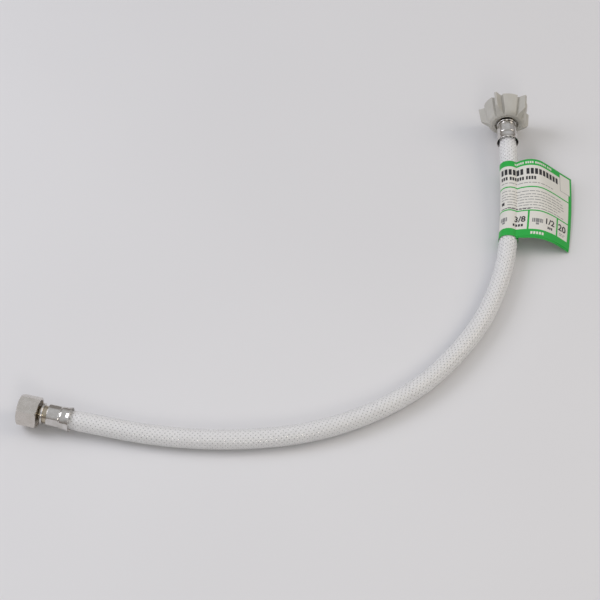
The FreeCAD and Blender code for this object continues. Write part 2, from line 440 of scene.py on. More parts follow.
@dataclass(frozen=True)
class PaleFloor:
    """Matte pale board."""

    name: str
    light: Colour
    dark: Colour

    def material(self) -> bpy.types.Material:
        """Builds the material."""
        shader = Shader(self.name)
        shader.fixed(Specular_IOR_Level=0.25)
        wash = shader.noise(shader.coordinates("Object", (1, 1, 1)), 3.0, 2.0)
        shader.colours(wash, self.dark, self.light)
        shader.roughness(wash, 0.55, 0.65)
        return shader.material


FINISHES: dict[Slot, Metal | Moulding | ClearVinyl | Yarn] = {
    Slot.NICKEL: Metal("satin_nickel", (0.67, 0.635, 0.595), (0.60, 0.565, 0.52), 0.22, 0.30),
    Slot.BRASS: Metal("turned_brass", (0.55, 0.49, 0.39), (0.46, 0.40, 0.30), 0.12, 0.22),
    Slot.STAINLESS: Metal(
        "bright_stainless", (0.72, 0.70, 0.68), (0.62, 0.60, 0.57), 0.10, 0.18, 2e-6),
    Slot.JACKET: ClearVinyl("milky_vinyl", (0.97, 0.97, 0.98), (0.93, 0.93, 0.95), 0.20),
    Slot.YARN: Yarn("white_yarn", (0.91, 0.91, 0.90), (0.80, 0.80, 0.80)),
    # The liner's mid grey is painted shade: darkened so the gaps between the braid's strands read dark through the
    # clear jacket.
    Slot.LINER: Moulding(
        "liner_vinyl", (0.42, 0.42, 0.42), (0.37, 0.37, 0.37), 0.3, 0.4, 1e-6),
    Slot.PLASTIC: Moulding(
        "warm_grey_acetal", (0.51, 0.50, 0.46), (0.45, 0.44, 0.40), 0.40, 0.52, 6e-6, 0.12),
    Slot.RUBBER: Moulding(
        "black_rubber", (0.030, 0.030, 0.032), (0.018, 0.018, 0.019), 0.55, 0.7, 1e-5),
}

INKS: dict[Ink, PrintedFilm] = {
    Ink.PAPER: PrintedFilm("label_white", (0.74, 0.73, 0.68), (0.70, 0.69, 0.64)),
    Ink.GREEN: PrintedFilm("label_green", (0.020, 0.42, 0.060), (0.018, 0.39, 0.055)),
    Ink.BLACK: PrintedFilm("label_black", (0.030, 0.030, 0.034), (0.022, 0.022, 0.025)),
    Ink.GREY: PrintedFilm("label_grey", (0.26, 0.26, 0.26), (0.21, 0.21, 0.21)),
}


# ------------------------------------------------------------- shared making

def finished(name: str, bm: BMesh, materials: Iterable[bpy.types.Material],
             sharp_deg: float = 35.0, even: bool = False) -> bpy.types.Object:
    """Makes an object of a finished bmesh.

    Args:
        name: the piece's name.
        bm: its mesh in metres, which is freed.
        materials: its material slots.
        sharp_deg: edges that turn more than this stay sharp.
        even: whether broad faces keep their own shading beside small rounded ones.

    Returns:
        The object, at the origin.
    """
    mesh = bpy.data.meshes.new(name)
    bm.to_mesh(mesh)
    bm.free()
    for material in materials:
        mesh.materials.append(material)
    mesh.shade_smooth()
    mesh.set_sharp_from_angle(angle=math.radians(sharp_deg))
    piece = bpy.data.objects.new(name, mesh)
    bpy.context.scene.collection.objects.link(piece)
    if even:
        piece.modifiers.new("even_shading", "WEIGHTED_NORMAL").keep_sharp = True
    return piece


def stands_for(piece: bpy.types.Object, node: str, slot: Slot) -> bpy.types.Object:
    """Puts a piece on its CAD node's body, in that node's place.

    Args:
        piece: the finished piece.
        node: the CAD node that it replaces.
        slot: the record's slot that it takes its finish from.

    Returns:
        The piece.
    """
    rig.ride(piece, frame["nodes"][node]["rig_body"])
    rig.replaces(piece, node)
    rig.slot(piece, slot.value)
    log.info("%s stands for %s", piece.name, node)
    return piece


def mapped_grid(bm: BMesh, across: int, along: int,
                place: Callable[[int, int], Vector]) -> list[bmesh.types.BMVert]:
    """Adds a grid whose points go where a function says, with its UVs counted in cells.

    Args:
        bm: the mesh to add to.
        across: cells in the first direction.
        along: cells in the second direction.
        place: gives the point at a pair of grid numbers.

    Returns:
        The grid's vertices.
    """
    made = bmesh.ops.create_grid(bm, x_segments=across, y_segments=along, size=1)["verts"]
    bm.verts.index_update()
    numbers = {
        v: (round((v.co.x + 1) / 2 * across), round((v.co.y + 1) / 2 * along)) for v in made}
    uv = bm.loops.layers.uv.verify()
    for face in {f for v in made for f in v.link_faces}:
        for loop in face.loops:
            loop[uv].uv = numbers[loop.vert]
    for v, (i, j) in numbers.items():
        v.co = place(i, j)
    return made


def bevel_edges(bm: BMesh, edges: Iterable[bmesh.types.BMEdge], width: float,
                segments: int) -> None:
    """Rounds edges by a width in the mesh's own unit."""
    bmesh.ops.bevel(
        bm, geom=list(edges), offset=width, offset_type="OFFSET", segments=segments,
        profile=0.5, affect="EDGES", clamp_overlap=True, material=-1)


def lathe(bm: BMesh, outline: Sequence[Corner], steps: int = 96, closed: bool = True) -> None:
    """Spins an outline round Z, its corners rounded first.

    Args:
        bm: the mesh to add to, in millimetres.
        outline: the corners of the section.
        steps: sides of the full turn.
        closed: whether the last corner joins the first.
    """
    verts = [bm.verts.new((radius, 0, s)) for radius, s, _ in outline]
    pairs = list(zip(verts, verts[1:])) + ([(verts[-1], verts[0])] if closed else [])
    for a, b in pairs:
        bm.edges.new((a, b))
    own = set(verts)
    known = {v for v in bm.verts if v not in own}
    for rounding in sorted({corner[2] for corner in outline if corner[2] > 0}):
        bmesh.ops.bevel(
            bm, geom=[v for v, corner in zip(verts, outline) if corner[2] == rounding],
            offset=rounding, offset_type="OFFSET", segments=4, profile=0.5,
            affect="VERTICES", clamp_overlap=False, material=-1)
    section = [v for v in bm.verts if v not in known]
    edges = list({e for v in section for e in v.link_edges})
    bmesh.ops.spin(
        bm, geom=section + edges, axis=UP, cent=(0, 0, 0), dvec=(0, 0, 0),
        angle=FULL_TURN, steps=steps, use_merge=True)
    bmesh.ops.remove_doubles(bm, verts=bm.verts, dist=1e-4)


def thread_ridge(bm: BMesh, wall: float, crest: float, pitch: float, start: float,
                 end: float) -> None:
    """Adds an internal thread's ridge, its ends fading into the wall.

    Args:
        bm: the mesh to add to, in millimetres.
        wall: the bore's radius.
        crest: the ridge's inner radius.
        pitch: travel of one turn.
        start: where it begins along the axis.
        end: where it ends.
    """
    turns = (end - start - pitch) / pitch
    sides, sunk, fade = 48, 0.05, 0.3
    root, top = 0.47 * pitch, 0.08 * pitch
    section = [
        bm.verts.new((radius, 0, start + pitch / 2 + s))
        for radius, s in ((wall + sunk, -root), (crest, -top), (crest, top), (wall + sunk, root))]
    before = set(bm.verts) - set(section)
    face = bm.faces.new(section)
    steps = round(turns * sides)
    bmesh.ops.spin(
        bm, geom=[face, *face.edges, *section], axis=UP, cent=(0, 0, 0),
        dvec=(0, 0, turns * pitch / steps), angle=turns * FULL_TURN, steps=steps)
    for v in set(bm.verts) - before:
        radius = math.hypot(v.co.x, v.co.y)
        turn = (v.co.z - start - pitch / 2) / pitch
        shown = max(0.0, min(turn, turns - turn) / fade)
        if radius < wall and shown < 1:
            grown = (wall + (crest - wall) * shown) / radius
            v.co.x *= grown
            v.co.y *= grown


@dataclass(frozen=True)
class FittingAxis:
    """Where a fitting's own axis lies: s = 0 at its nut's open face, +s towards the hose."""

    face: Vector
    along: Vector

    @classmethod
    def of_mount(cls, name: str, thread_start: float) -> "FittingAxis":
        """Finds the axis of a threaded mount.

        Args:
            name: the mount's name in the record.
            thread_start: where its thread begins, from the open face, in millimetres.

        Returns:
            The axis.
        """
        mount = next(m for m in frame["record"]["mounts"] if m["name"] == name)
        out = Vector(mount["axis"]).normalized()
        depth = mount["dims"]["length_mm"] / 2 + thread_start
        return cls(Vector(mount["pos_m"]) + out * depth * MM, -out)

    def matrix(self) -> Matrix:
        """Takes millimetres on the fitting's axis, +Y nearest to up, to metres in the frame."""
        x = UP.cross(self.along).normalized()
        y = self.along.cross(x)
        turn = Matrix((x, y, self.along)).transposed().to_4x4()
        return Matrix.Translation(self.face) @ turn @ Matrix.Scale(MM, 4)

    def lay(self, bm: BMesh) -> None:
        """Moves a mesh in millimetres to its place, its faces turned outwards."""
        bmesh.ops.recalc_face_normals(bm, faces=bm.faces)
        bmesh.ops.transform(bm, matrix=self.matrix(), verts=bm.verts)


# ---------------------------------------------------------------------- hose

class Centreline:
    """The hose's smooth line, read from the NURBS spline of its route."""

    SMOOTHING = 0.002       # metres each side that a direction is taken over

    def __init__(self, route: Sequence[Sequence[float]]) -> None:
        """Reads the spline's points.

        Args:
            route: the spline's control points, in metres.
        """
        curve = bpy.data.curves.new("hose_route", "CURVE")
        curve.dimensions = "3D"
        curve.resolution_u = 64
        spline = curve.splines.new("NURBS")
        spline.points.add(len(route) - 1)
        for point, place in zip(spline.points, route):
            point.co = (*place, 1)
        spline.order_u = 3
        spline.use_endpoint_u = True
        bare = bpy.data.objects.new("hose_route", curve)
        mesh = bpy.data.meshes.new_from_object(bare)
        self.points = [v.co.copy() for v in mesh.vertices]
        bpy.data.objects.remove(bare)
        bpy.data.curves.remove(curve)
        bpy.data.meshes.remove(mesh)
        self.places = [0.0]
        for a, b in zip(self.points, self.points[1:]):
            self.places.append(self.places[-1] + (b - a).length)
        self.length = self.places[-1]
        self.reached = 0

    def point(self, s: float) -> Vector:
        """The point at a distance along the line; past an end, straight on from it."""
        i = min(max(self.reached, 0), len(self.points) - 2)
        while i > 0 and self.places[i] > s:
            i -= 1
        while i < len(self.points) - 2 and self.places[i + 1] < s:
            i += 1
        self.reached = i
        share = (s - self.places[i]) / (self.places[i + 1] - self.places[i])
        return self.points[i].lerp(self.points[i + 1], share)

    def matrix(self, s: float) -> Matrix:
        """The frame at a distance along the line.

        Args:
            s: the distance, in metres.

        Returns:
            A matrix whose X points right of the line, Y up from it and Z along it.
        """
        along = (self.point(s + self.SMOOTHING) - self.point(s - self.SMOOTHING)).normalized()
        right = along.cross(UP).normalized()
        turn = Matrix((right, right.cross(along), along)).transposed().to_4x4()
        return Matrix.Translation(self.point(s)) @ turn


@dataclass
class Hose:
    """Vinyl liner, woven braid and clear jacket on one centreline. Sizes in millimetres."""

    line: Centreline
    jacket_r: float = 6.35
    jacket_inner_r: float = 5.40
    relief: float = 0.20            # how deep the jacket dips between the braid's crossings
    liner_r: float = 5.45
    bore_r: float = 3.95
    strands: int = 12               # in each direction
    strand_r: float = 5.72
    strand_w: float = 1.54
    strand_crown: float = 0.128     # of its middle over its edges
    weave: float = 0.16             # how far a strand rises and dips at the crossings
    lip_from_start: float = 13.5    # from the hose's hidden end to its ferrule's lip
    pinch: float = 0.48             # how far the ferrules press the hose in
    pinch_fade: float = 6.0
    bore_stations: int = 160        # rings of each layer's inner wall
    liner_stations: int = 240       # and of the liner's outer wall
    liner_sides: int = 48
    cells: int = field(init=False)
    path: list[Vector] = field(init=False)

    def __post_init__(self) -> None:
        """Fits a whole number of square braid cells along the hose, and takes its path."""
        cell = FULL_TURN * self.strand_r / self.strands
        self.cells = round(self.line.length / MM / cell)
        self.path = []

    def stations(self, count: int) -> list[Matrix]:
        """Frames at even distances along the whole hose."""
        return [self.line.matrix(self.line.length * j / count) for j in range(count + 1)]

    def squeeze(self, share: float) -> float:
        """How far the nearer ferrule presses the hose in.

        Args:
            share: the distance along the hose, from 0 to 1.

        Returns:
            The depth, in millimetres.
        """
        beyond = min(share, 1 - share) * self.line.length / MM - self.lip_from_start
        rise = min(max(beyond / self.pinch_fade, 0.0), 1.0)
        return self.pinch * (1 - rise * rise * (3 - 2 * rise))

    def tube(self, bm: BMesh, around: int, frames: Sequence[Matrix],
             radius: Callable[[int, int], float]) -> None:
        """Adds one wall of a tube.

        Args:
            bm: the mesh to add to.
            around: sides.
            frames: the frame of each ring.
            radius: gives the radius in millimetres at a side and a ring.
        """
        def place(i: int, j: int) -> Vector:
            """A point of the wall, in the frame."""
            angle = FULL_TURN * (i % around) / around
            reach = (radius(i % around, j) - self.squeeze(j / (len(frames) - 1))) * MM
            return frames[j] @ Vector((reach * math.cos(angle), reach * math.sin(angle), 0))

        mapped_grid(bm, around, len(frames) - 1, place)

    def sleeve(self, name: str, slot: Slot, around: int, frames: Sequence[Matrix],
               outer: Callable[[int, int], float], inner: float) -> bpy.types.Object:
        """A closed tube of one layer.

        Args:
            name: the piece's name.
            slot: its finish.
            around: sides of its outer wall.
            frames: the frames of its outer wall's rings.
            outer: gives the outer radius in millimetres at a side and a ring.
            inner: the inner radius in millimetres.

        Returns:
            The object.
        """
        bm = bmesh.new()
        self.tube(bm, around, frames, outer)
        self.tube(bm, around, self.stations(self.bore_stations), lambda i, j: inner)
        bmesh.ops.remove_doubles(bm, verts=bm.verts, dist=1e-7)
        rims = [e for e in bm.edges if e.is_boundary]
        near = 2 * self.jacket_r * MM
        for end in (frames[0], frames[-1]):
            centre = end.translation
            loop = [e for e in rims if (e.verts[0].co - centre).length < near]
            bmesh.ops.triangle_fill(bm, edges=loop, use_beauty=True)
        bmesh.ops.recalc_face_normals(bm, faces=bm.faces)
        return finished(name, bm, [FINISHES[slot].material()], 60.0)

    def jacket(self) -> bpy.types.Object:
        """The clear outer layer, its surface drawn in between the braid's crossings."""
        across, along = 6, 6        # sides and rings of one braid cell
        frames = self.stations(self.cells * along)

        def radius(i: int, j: int) -> float:
            """The outer radius, largest where strands cross."""
            bulge = math.cos(FULL_TURN * i / across) * math.cos(FULL_TURN * j / along)
            return self.jacket_r - self.relief * (1 - bulge)

        piece = self.sleeve(
            "hose_jacket_clear", Slot.JACKET, across * self.strands, frames, radius,
            self.jacket_inner_r)
        stands_for(piece, "hose_jacket", Slot.JACKET)
        self.path = [f.translation for f in frames]
        return piece

    def liner(self) -> bpy.types.Object:
        """The inner tube that carries the water."""
        piece = self.sleeve(
            "hose_liner_tube", Slot.LINER, self.liner_sides, self.stations(self.liner_stations),
            lambda i, j: self.liner_r, self.bore_r)
        return stands_for(piece, "hose_liner", Slot.LINER)

    def braid(self) -> bpy.types.Object:
        """Crowned strands wound both ways, each passing over one and under the next."""
        fine = 2                    # stations from one crossing to the next
        steps = 2 * self.cells * fine
        frames = self.stations(steps)
        edge = self.strand_w / 2 / self.strand_r / math.cos(math.pi / 4)
        section = (
            (edge, 0.0), (edge / 2, self.strand_crown), (-edge / 2, self.strand_crown),
            (-edge, 0.0))
        bm = bmesh.new()
        for way in (1, -1):
            for k in range(self.strands):
                def place(i: int, j: int) -> Vector:
                    """A point of this strand, in the frame."""
                    aside, raised = section[i % len(section)]
                    angle = FULL_TURN * (k + way * j / 2 / fine) / self.strands + aside
                    over = self.weave * way * math.cos(math.pi * j / fine)
                    reach = (self.strand_r + over + raised - self.squeeze(j / steps)) * MM
                    spot = Vector((reach * math.cos(angle), reach * math.sin(angle), 0))
                    return frames[j] @ spot

                mapped_grid(bm, len(section), steps, place)
        bmesh.ops.remove_doubles(bm, verts=bm.verts, dist=1e-8)
        ends = [e for e in bm.edges if e.is_boundary]
        bmesh.ops.holes_fill(bm, edges=ends, sides=len(section))
        bmesh.ops.recalc_face_normals(bm, faces=bm.faces)
        piece = finished("hose_braid_strands", bm, [FINISHES[Slot.YARN].material()], 80.0)
        return stands_for(piece, "hose_braid", Slot.YARN)

    def build(self) -> tuple[bpy.types.Object, list[bpy.types.Object]]:
        """Makes the three layers.

        Returns:
            The jacket and the layers inside it.
        """
        return self.jacket(), [self.braid(), self.liner()]


# -------------------------------------------------------------- end hardware

@dataclass
class EndHardware:
    """Stem, retaining ring and ferrule, alike at both ends. Sizes in millimetres."""

    prefix: str
    axis: FittingAxis
    ring_s: float
    wall: float                     # front of the ferrule
    head_s: float
    head_end: float
    head_r: float
    spigot_r: float
    ring_r: float = 6.7
    ring_l: float = 1.4
    neck_r: float = 5.3
    waist_r: float = 4.3            # the neck in front of the ring
    groove_r: float = 4.8
    sheet: float = 0.6
    crimp_r: float = 6.75
    crimp_l: float = 7.3
    crimp_flats: int = 8
    crimp_flat_r: float = 6.52
    bead_gap: float = 0.9
    bulge_r: float = 7.05
    bulge_l: float = 3.6
    lip_r: float = 7.6
    lip_l: float = 2.3
    hose_r: float = 6.36
    bore_r: float = 2.6
    tail_r: float = 3.95
    barbs: int = 5
    barb_depth: float = 0.35
    spigot_l: float = 2.0

    def turned(self, name: str, node: str, slot: Slot,
               outline: Sequence[Corner]) -> bpy.types.Object:
        """A lathe-turned piece on this fitting's axis, standing for a CAD node."""
        bm = bmesh.new()
        lathe(bm, outline)
        self.axis.lay(bm)
        piece = finished(name, bm, [FINISHES[slot].material()], even=True)
        return stands_for(piece, node, slot)

    def ring(self) -> bpy.types.Object:
        """The polished ring that the nut pulls on."""
        front, back = self.ring_s, self.ring_s + self.ring_l
        return self.turned(
            f"{self.prefix}_ring_polished", f"{self.prefix}_retaining_ring", Slot.STAINLESS, [
                (self.neck_r, front, 0.1), (self.ring_r, front, 0.45),
                (self.ring_r, back, 0.62), (self.neck_r, back, 0.2)])

    def stem(self) -> bpy.types.Object:
        """The machined insert with its spigot, head, neck, groove and barbed tail."""
        tube, end = self.wall + self.sheet, self.wall + self.ferrule_length() - 1.0
        front = self.head_s - self.spigot_l
        outline: list[Corner] = [
            (self.bore_r, front, 0.15), (self.spigot_r, front, 0.3),
            (self.spigot_r, self.head_s, 0.0), (self.head_r, self.head_s, 0.3),
            (self.head_r, self.head_end, 0.3), (self.waist_r, self.head_end, 0.0),
            (self.waist_r, self.ring_s - 0.3, 0.0), (self.neck_r, self.ring_s - 0.3, 0.0),
            (self.neck_r, self.wall, 0.0), (self.groove_r, self.wall, 0.0),
            (self.groove_r, tube, 0.0), (self.tail_r, tube, 0.0)]
        pitch = (end - tube) / self.barbs
        for k in range(self.barbs):
            crest = tube + (k + 0.35) * pitch
            root = self.tail_r - self.barb_depth
            outline += [(self.tail_r, crest, 0.0), (root, crest, 0.0),
                        (root, crest + 0.2 * pitch, 0.0), (self.tail_r, crest + 0.3 * pitch, 0.0)]
        outline += [(self.tail_r, end, 0.3), (self.bore_r, end, 0.15)]
        return self.turned(
            f"{self.prefix}_stem_machined", f"{self.prefix}_stem", Slot.BRASS, outline)

    def ferrule_length(self) -> float:
        """The ferrule from its front wall to its lip."""
        return self.crimp_l + self.bead_gap + self.bulge_l + self.lip_l

    def crimped(self, v: bmesh.types.BMVert) -> None:
        """Presses a point of the ferrule's barrel in to the nearest flat of the crimping die."""
        radius = math.hypot(v.co.x, v.co.y)
        inside = self.wall + 0.7 < v.co.z < self.wall + self.crimp_l + 0.1
        if inside and radius > self.hose_r + 0.1:
            sector = FULL_TURN / self.crimp_flats
            aside = (math.atan2(v.co.y, v.co.x) % sector) - sector / 2
            limit = min(self.crimp_r + 0.02, self.crimp_flat_r / math.cos(aside))
            if radius > limit:
                v.co.x *= limit / radius
                v.co.y *= limit / radius

    def ferrule(self) -> bpy.types.Object:
        """The drawn shell: crimped barrel, waist, bulge and flared lip."""
        barrel = self.wall + self.crimp_l
        bulge = barrel + self.bead_gap
        lip, end = bulge + self.bulge_l, self.wall + self.ferrule_length()
        inner = self.hose_r
        bm = bmesh.new()
        lathe(bm, [
            (self.groove_r, self.wall, 0.0), (self.crimp_r, self.wall, 0.35),
            (self.crimp_r, self.wall + 0.72, 0.0), (self.crimp_r, self.wall + 0.95, 0.0),
            (self.crimp_r, barrel - 0.4, 0.0), (self.crimp_r, barrel, 0.15),
            (self.crimp_flat_r, bulge - 0.45, 0.2), (self.bulge_r, bulge + 0.35, 0.45),
            (self.bulge_r + 0.05, lip - 0.2, 0.5), (self.lip_r, end - 0.5, 0.4),
            (self.lip_r, end - 0.05, 0.18), (self.lip_r - 0.35, end, 0.12),
            (inner + 0.1, lip, 0.5), (inner, lip - 0.8, 0.0),
            (inner, self.wall + self.sheet, 0.3), (self.groove_r, self.wall + self.sheet, 0.0)])
        for v in bm.verts:
            self.crimped(v)
        self.axis.lay(bm)
        piece = finished(
            f"{self.prefix}_ferrule_drawn", bm, [FINISHES[Slot.STAINLESS].material()], 50.0)
        return stands_for(piece, f"{self.prefix}_ferrule", Slot.STAINLESS)

    def build(self) -> None:
        """Makes the three pieces."""
        self.stem()
        self.ring()
        self.ferrule()


@dataclass
class CompressionEnd:
    """Plated hex compression nut with its cone washer. Sizes in millimetres."""

    across_flats: float = 17.46
    length: float = 12.4
    turn_deg: float = 43.0          # from the horizontal to a flat's normal
    mouth_r: float = 7.5
    bore_r: float = 7.12
    crest_r: float = 6.57
    pitch: float = 25.4 / 24
    thread_start: float = 0.8
    thread_end: float = 5.4
    lip_s: float = 10.2
    lip_end: float = 11.0
    lip_r: float = 5.6
    recess_r: float = 7.9
    sides: int = 96
    chamfer_deg: float = 32.0
    chamfer_in: float = 0.25        # how far inside the flats the chamfer starts
    corner_round: float = 0.28
    cone: tuple[float, float, float] = (5.5, 7.2, 8.2)
    cone_radii: tuple[float, float, float] = (4.3, 5.3, 6.25)
    spigot_hole: float = 3.7

    def axis(self) -> FittingAxis:
        """The fitting's axis, from its threaded mount."""
        return FittingAxis.of_mount("compression_thread", self.thread_start)

    def nut(self) -> bpy.types.Object:
        """The hexagon: a turned blank, its six flats cut by planes."""
        flat = self.across_flats / 2
        corner = flat / math.cos(math.radians(30)) + 0.05
        rise = (corner - flat + self.chamfer_in) * math.tan(math.radians(self.chamfer_deg))
        bm = bmesh.new()
        lathe(bm, [
            (flat - self.chamfer_in, 0, 0.25), (corner, rise, 0.0),
            (corner, self.length - rise * 0.55, 0.0),
            (flat + 0.2, self.length, 0.2), (self.recess_r, self.length, 0.2),
            (self.recess_r, self.lip_end, 0.15), (self.lip_r, self.lip_end, 0.15),
            (self.lip_r, self.lip_s, 0.15), (self.bore_r, self.lip_s, 0.2),
            (self.bore_r, self.thread_start * 0.8, 0.0), (self.mouth_r, 0, 0.15)], self.sides)
        for k in range(6):
            angle = math.radians(self.turn_deg + 60 * k)
            normal = Vector((math.cos(angle), math.sin(angle), 0))
            cut = bmesh.ops.bisect_plane(
                bm, geom=[*bm.verts, *bm.edges, *bm.faces], dist=1e-4, plane_co=normal * flat,
                plane_no=normal, clear_outer=True)
            edges = [e for e in cut["geom_cut"] if isinstance(e, bmesh.types.BMEdge)]
            bmesh.ops.edgeloop_fill(bm, edges=[e for e in edges if e.is_boundary])
        bm.normal_update()
        outer = [
            e for e in bm.edges
            if all(math.hypot(v.co.x, v.co.y) > flat - 0.02 for v in e.verts)
            and e.is_manifold and e.calc_face_angle(0.0) > math.radians(18)]
        bevel_edges(bm, outer, self.corner_round, 3)
        thread_ridge(bm, self.bore_r, self.crest_r, self.pitch, 0.5, self.thread_end)
        self.axis().lay(bm)
        piece = finished("hex_nut_plated", bm, [FINISHES[Slot.NICKEL].material()], 30.0, True)
        return stands_for(piece, "hex_nut", Slot.NICKEL)

    def washer(self) -> bpy.types.Object:
        """The rubber cone that seals on the valve's seat."""
        front, flange, back = self.cone
        nose, root, rim = self.cone_radii
        bm = bmesh.new()
        lathe(bm, [
            (self.spigot_hole, front, 0.15), (nose, front, 0.25), (root, flange, 0.15),
            (rim, flange, 0.2), (rim, back, 0.2), (self.spigot_hole, back, 0.15)])
        self.axis().lay(bm)
        piece = finished("cone_washer_moulded", bm, [FINISHES[Slot.RUBBER].material()])
        return stands_for(piece, "cone_washer", Slot.RUBBER)

    def build(self) -> None:
        """Makes the nut, its washer and the hardware behind them."""
        self.nut()
        self.washer()
        EndHardware(
            "compression", self.axis(), ring_s=14.1, wall=18.0, head_s=8.4, head_end=9.9,
            head_r=6.25, spigot_r=3.4).build()


@dataclass
class PipeEnd:
    """Moulded wing nut with its flat washer. Sizes in millimetres."""

    length: float = 15.6
    wings: int = 5
    turn_deg: float = 44.0          # clockwise from the top to the first wing
    tip: tuple[float, float] = (18.6, 16.8)         # front and rear
    drum: tuple[float, float] = (15.2, 12.4)
    tip_w: float = 1.6
    root_w: float = 4.9
    flute_depth: float = 2.0        # of the groove at each side of a wing's root
    flute_deg: float = 5.0
    root_depth: float = 2.0         # how far inside the drum a wing's sides begin
    bevel_from: float = 9.4         # where the wings' rear bevel begins
    rim_r: float = 10.6
    recess_r: float = 8.0
    mouth_r: float = 10.9
    bore_r: float = 10.2
    crest_r: float = 9.55
    pitch: float = 25.4 / 14
    thread_start: float = 1.2
    thread_end: float = 7.0
    lip_s: float = 11.6
    lip_end: float = 13.2
    lip_r: float = 5.7
    edge_round: float = 0.35
    root_round: float = 0.9
    washer_radii: tuple[float, float, float] = (4.9, 8.0, 9.2)
    washer_s: tuple[float, float] = (7.2, 9.4)

    def axis(self) -> FittingAxis:
        """The fitting's axis, from its threaded mount."""
        return FittingAxis.of_mount("pipe_thread", self.thread_start)

    def envelope(self, s: float) -> float:
        """The largest radius at a place along the axis."""
        back = max(0.0, s - self.bevel_from) / (self.length - self.bevel_from)
        return self.tip[0] + 1 + (self.rim_r - self.tip[0] - 1) * back

    def outline(self, s: float) -> list[Vector]:
        """The section of drum and wings.

        Args:
            s: place along the axis.

        Returns:
            Its points, in order round the axis.
        """
        share = s / self.length
        drum = self.drum[0] + (self.drum[1] - self.drum[0]) * share
        tip = self.tip[0] + (self.tip[1] - self.tip[0]) * share
        limit, root = self.envelope(s), drum - self.root_depth
        slope = (self.root_w - self.tip_w) / 2 / (tip - root)

        def side(radius: float) -> tuple[float, float]:
            """Angle from the wing's middle, and radius, where its side meets a circle."""
            height = radius
            for _ in range(6):
                half = self.tip_w / 2 + slope * (tip - height)
                height = math.sqrt(radius ** 2 - half ** 2)
            return math.atan2(half, height), radius

        outer = side(min(limit, math.hypot(tip, self.tip_w / 2)))
        flute = side(min(limit, drum - self.flute_depth))
        inner = flute[0] + math.radians(self.flute_deg), min(limit, drum)
        sector, arc = FULL_TURN / self.wings, 8
        points = []
        for k in range(self.wings):
            middle = math.pi / 2 - math.radians(self.turn_deg) - k * sector
            spots = [(-inner[0], inner[1]), (-flute[0], flute[1]), (-outer[0], outer[1]),
                     (outer[0], outer[1]), flute]
            spots += [
                (inner[0] + (sector - 2 * inner[0]) * n / arc, inner[1]) for n in range(arc)]
            points += [
                Vector((r * math.cos(middle - a), r * math.sin(middle - a), s)) for a, r in spots]
        return points

    def nut(self) -> bpy.types.Object:
        """The winged drum, drawn out station by station, and its threaded bore."""
        bm = bmesh.new()
        bevel = self.length - self.bevel_from
        cuts = 6                    # of the rear bevel
        stations = [0.0, 5.3, 8.4] + [self.bevel_from + bevel * n / cuts for n in range(cuts + 1)]
        loop = [bm.verts.new(p) for p in self.outline(stations[0])]
        edges = [bm.edges.new((a, b)) for a, b in zip(loop, loop[1:] + loop[:1])]
        for s in stations[1:]:
            grown = bmesh.ops.extrude_edge_only(bm, edges=edges)["geom"]
            new = {v for v in grown if isinstance(v, bmesh.types.BMVert)}
            loop = [next(e.other_vert(v) for e in v.link_edges if e.other_vert(v) in new)
                    for v in loop]
            for v, place in zip(loop, self.outline(s)):
                v.co = place
            edges = [e for e in grown if isinstance(e, bmesh.types.BMEdge)
                     and e.verts[0] in new and e.verts[1] in new]
        lathe(bm, [
            (self.recess_r + 0.3, self.length, 0.0), (self.recess_r, self.length - 0.4, 0.0),
            (self.recess_r, self.lip_end, 0.2), (self.lip_r, self.lip_end, 0.2),
            (self.lip_r, self.lip_s, 0.2), (self.bore_r, self.lip_s, 0.3),
            (self.bore_r, self.thread_start, 0.0), (self.mouth_r, 0, 0.0)], 96, closed=False)
        for s in (0.0, self.length):
            rims = [e for e in bm.edges if e.is_boundary and abs(e.verts[0].co.z - s) < 0.01]
            bmesh.ops.triangle_fill(bm, edges=rims, use_beauty=True)
        bm.normal_update()
        bmesh.ops.recalc_face_normals(bm, faces=bm.faces)
        limit = math.radians(20)
        roots = [
            e for e in bm.edges if e.is_manifold and e.calc_face_angle_signed(0.0) < -limit
            and min(math.hypot(v.co.x, v.co.y) for v in e.verts) > self.rim_r]
        bevel_edges(bm, roots, self.root_round, 3)
        outer = [
            e for e in bm.edges if e.is_manifold and e.calc_face_angle_signed(0.0) > limit
            and min(math.hypot(v.co.x, v.co.y) for v in e.verts) > self.rim_r - 0.3]
        bevel_edges(bm, outer, self.edge_round, 3)
        thread_ridge(bm, self.bore_r, self.crest_r, self.pitch, 0.4, self.thread_end)
        self.axis().lay(bm)
        piece = finished("wing_nut_moulded", bm, [FINISHES[Slot.PLASTIC].material()], 30.0, True)
        return stands_for(piece, "wing_nut", Slot.PLASTIC)

    def washer(self) -> bpy.types.Object:
        """The flat rubber washer behind the thread."""
        hole, nose, rim = self.washer_radii
        front, back = self.washer_s
        bm = bmesh.new()
        lathe(bm, [
            (hole, front, 0.15), (nose, front, 0.3), (rim, front + 1.0, 0.3), (rim, back, 0.25),
            (hole, back, 0.15)])
        self.axis().lay(bm)
        piece = finished("pipe_washer_moulded", bm, [FINISHES[Slot.RUBBER].material()])
        return stands_for(piece, "pipe_washer", Slot.RUBBER)

    def build(self) -> None:
        """Makes the nut, its washer and the hardware behind them."""
        self.nut()
        self.washer()
        EndHardware(
            "pipe", self.axis(), ring_s=15.2, wall=17.5, head_s=9.6, head_end=11.3, head_r=8.9,
            spigot_r=4.6).build()


# --------------------------------------------------------------------- label

@dataclass(frozen=True)
class Patch:
    """A printed rectangle, in millimetres from the label's fold and from its lower edge."""

    left: float
    right: float
    low: float
    high: float
    ink: Ink


